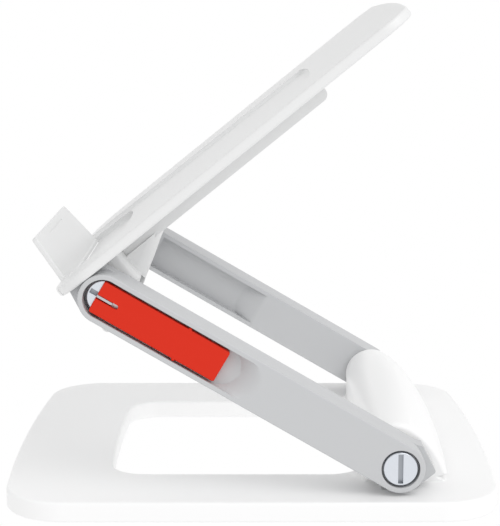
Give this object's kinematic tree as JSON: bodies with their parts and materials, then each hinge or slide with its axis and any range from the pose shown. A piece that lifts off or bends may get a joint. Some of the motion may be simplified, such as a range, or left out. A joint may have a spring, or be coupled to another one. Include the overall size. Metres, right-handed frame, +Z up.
{
  "type": "tablet stand",
  "caption": "Folding tablet stand: weighted base frame with an opening, two lifting arms, a tilting tray with a fold-in ledge, and a clip-in key for the tension screws.",
  "frame": {"origin": "middle of the footprint, on the plane that the rubber feet stand on", "axes": "+X to the back of the stand, away from the user, +Y to the user's left, +Z up"},
  "size_m": [0.197, 0.1836, 0.195],
  "materials": {
    "white_plastic": "satin moulded",
    "plate_plastic": "matt moulded",
    "grey_plastic": "satin moulded",
    "red_plastic": "satin moulded",
    "rubber": "matt",
    "steel": "turned",
    "plated": "plated",
    "nylon": "moulded",
    "weight_steel": "cut plate"
  },
  "bodies": {
    "base": {"base_shell": "white_plastic", "hinge_housing": "white_plastic", "base_bottom_plate": "plate_plastic", "base_weight": "weight_steel", "foot_front_right": "rubber", "foot_front_left": "rubber", "foot_rear_right": "rubber", "foot_rear_left": "rubber", "base_screws": "steel", "housing_screws": "steel", "lower_hinge_shaft": "steel", "lower_right_washer": "nylon", "lower_left_washer": "nylon"},
    "arms": {"right_arm_outer": "grey_plastic", "right_arm_inner": "grey_plastic", "left_arm_outer": "grey_plastic", "left_arm_inner": "grey_plastic", "arm_rivets": "steel", "lower_right_bush": "nylon", "lower_left_bush": "nylon", "upper_right_bush": "nylon", "upper_left_bush": "nylon", "lower_right_disc_spring": "steel", "lower_left_disc_spring": "steel", "upper_right_disc_spring": "steel", "upper_left_disc_spring": "steel"},
    "tray": {"tray_plate": "white_plastic", "tray_back_cover": "white_plastic", "tray_bracket": "white_plastic", "tray_screws": "steel", "upper_hinge_shaft": "steel", "upper_right_washer": "nylon", "upper_left_washer": "nylon", "ledge_pin": "steel"},
    "ledge": {"ledge": "white_plastic"},
    "key": {"key_handle": "red_plastic", "key_blade": "steel"},
    "lower_right_tension_screw": {"lower_right_screw": "plated"},
    "lower_left_tension_screw": {"lower_left_screw": "plated"},
    "upper_right_tension_screw": {"upper_right_screw": "plated"},
    "upper_left_tension_screw": {"upper_left_screw": "plated"}
  },
  "joints": [
    {"name": "arm_lift", "type": "hinge", "parent": "base", "child": "arms", "pos_m": [0.0565, 0, 0.0199], "axis": [0, 1, 0], "range_deg": [-26.5, 20]},
    {"name": "tray_tilt", "type": "hinge", "parent": "arms", "child": "tray", "pos_m": [-0.05574, 0, 0.08549], "axis": [0, 1, 0], "range_deg": [0, 65.3]},
    {"name": "ledge_fold", "type": "hinge", "parent": "tray", "child": "ledge", "pos_m": [-0.07258, 0, 0.08565], "axis": [0, 1, 0], "range_deg": [0, 90]},
    {"name": "key_slide", "type": "slide", "parent": "arms", "child": "key", "axis": [0, -1, 0], "range_m": [0, 0.025]},
    {"name": "lower_right_screw_turn", "type": "hinge", "parent": "base", "child": "lower_right_tension_screw", "pos_m": [0.0565, -0.08, 0.0199], "axis": [0, 1, 0], "range_deg": [-180, 180]},
    {"name": "lower_left_screw_turn", "type": "hinge", "parent": "base", "child": "lower_left_tension_screw", "pos_m": [0.0565, 0.08, 0.0199], "axis": [0, 1, 0], "range_deg": [-180, 180]},
    {"name": "upper_right_screw_turn", "type": "hinge", "parent": "tray", "child": "upper_right_tension_screw", "pos_m": [-0.05574, -0.078, 0.08549], "axis": [0, 1, 0], "range_deg": [-180, 180]},
    {"name": "upper_left_screw_turn", "type": "hinge", "parent": "tray", "child": "upper_left_tension_screw", "pos_m": [-0.05574, 0.08, 0.08549], "axis": [0, 1, 0], "range_deg": [-180, 180]}
  ]
}
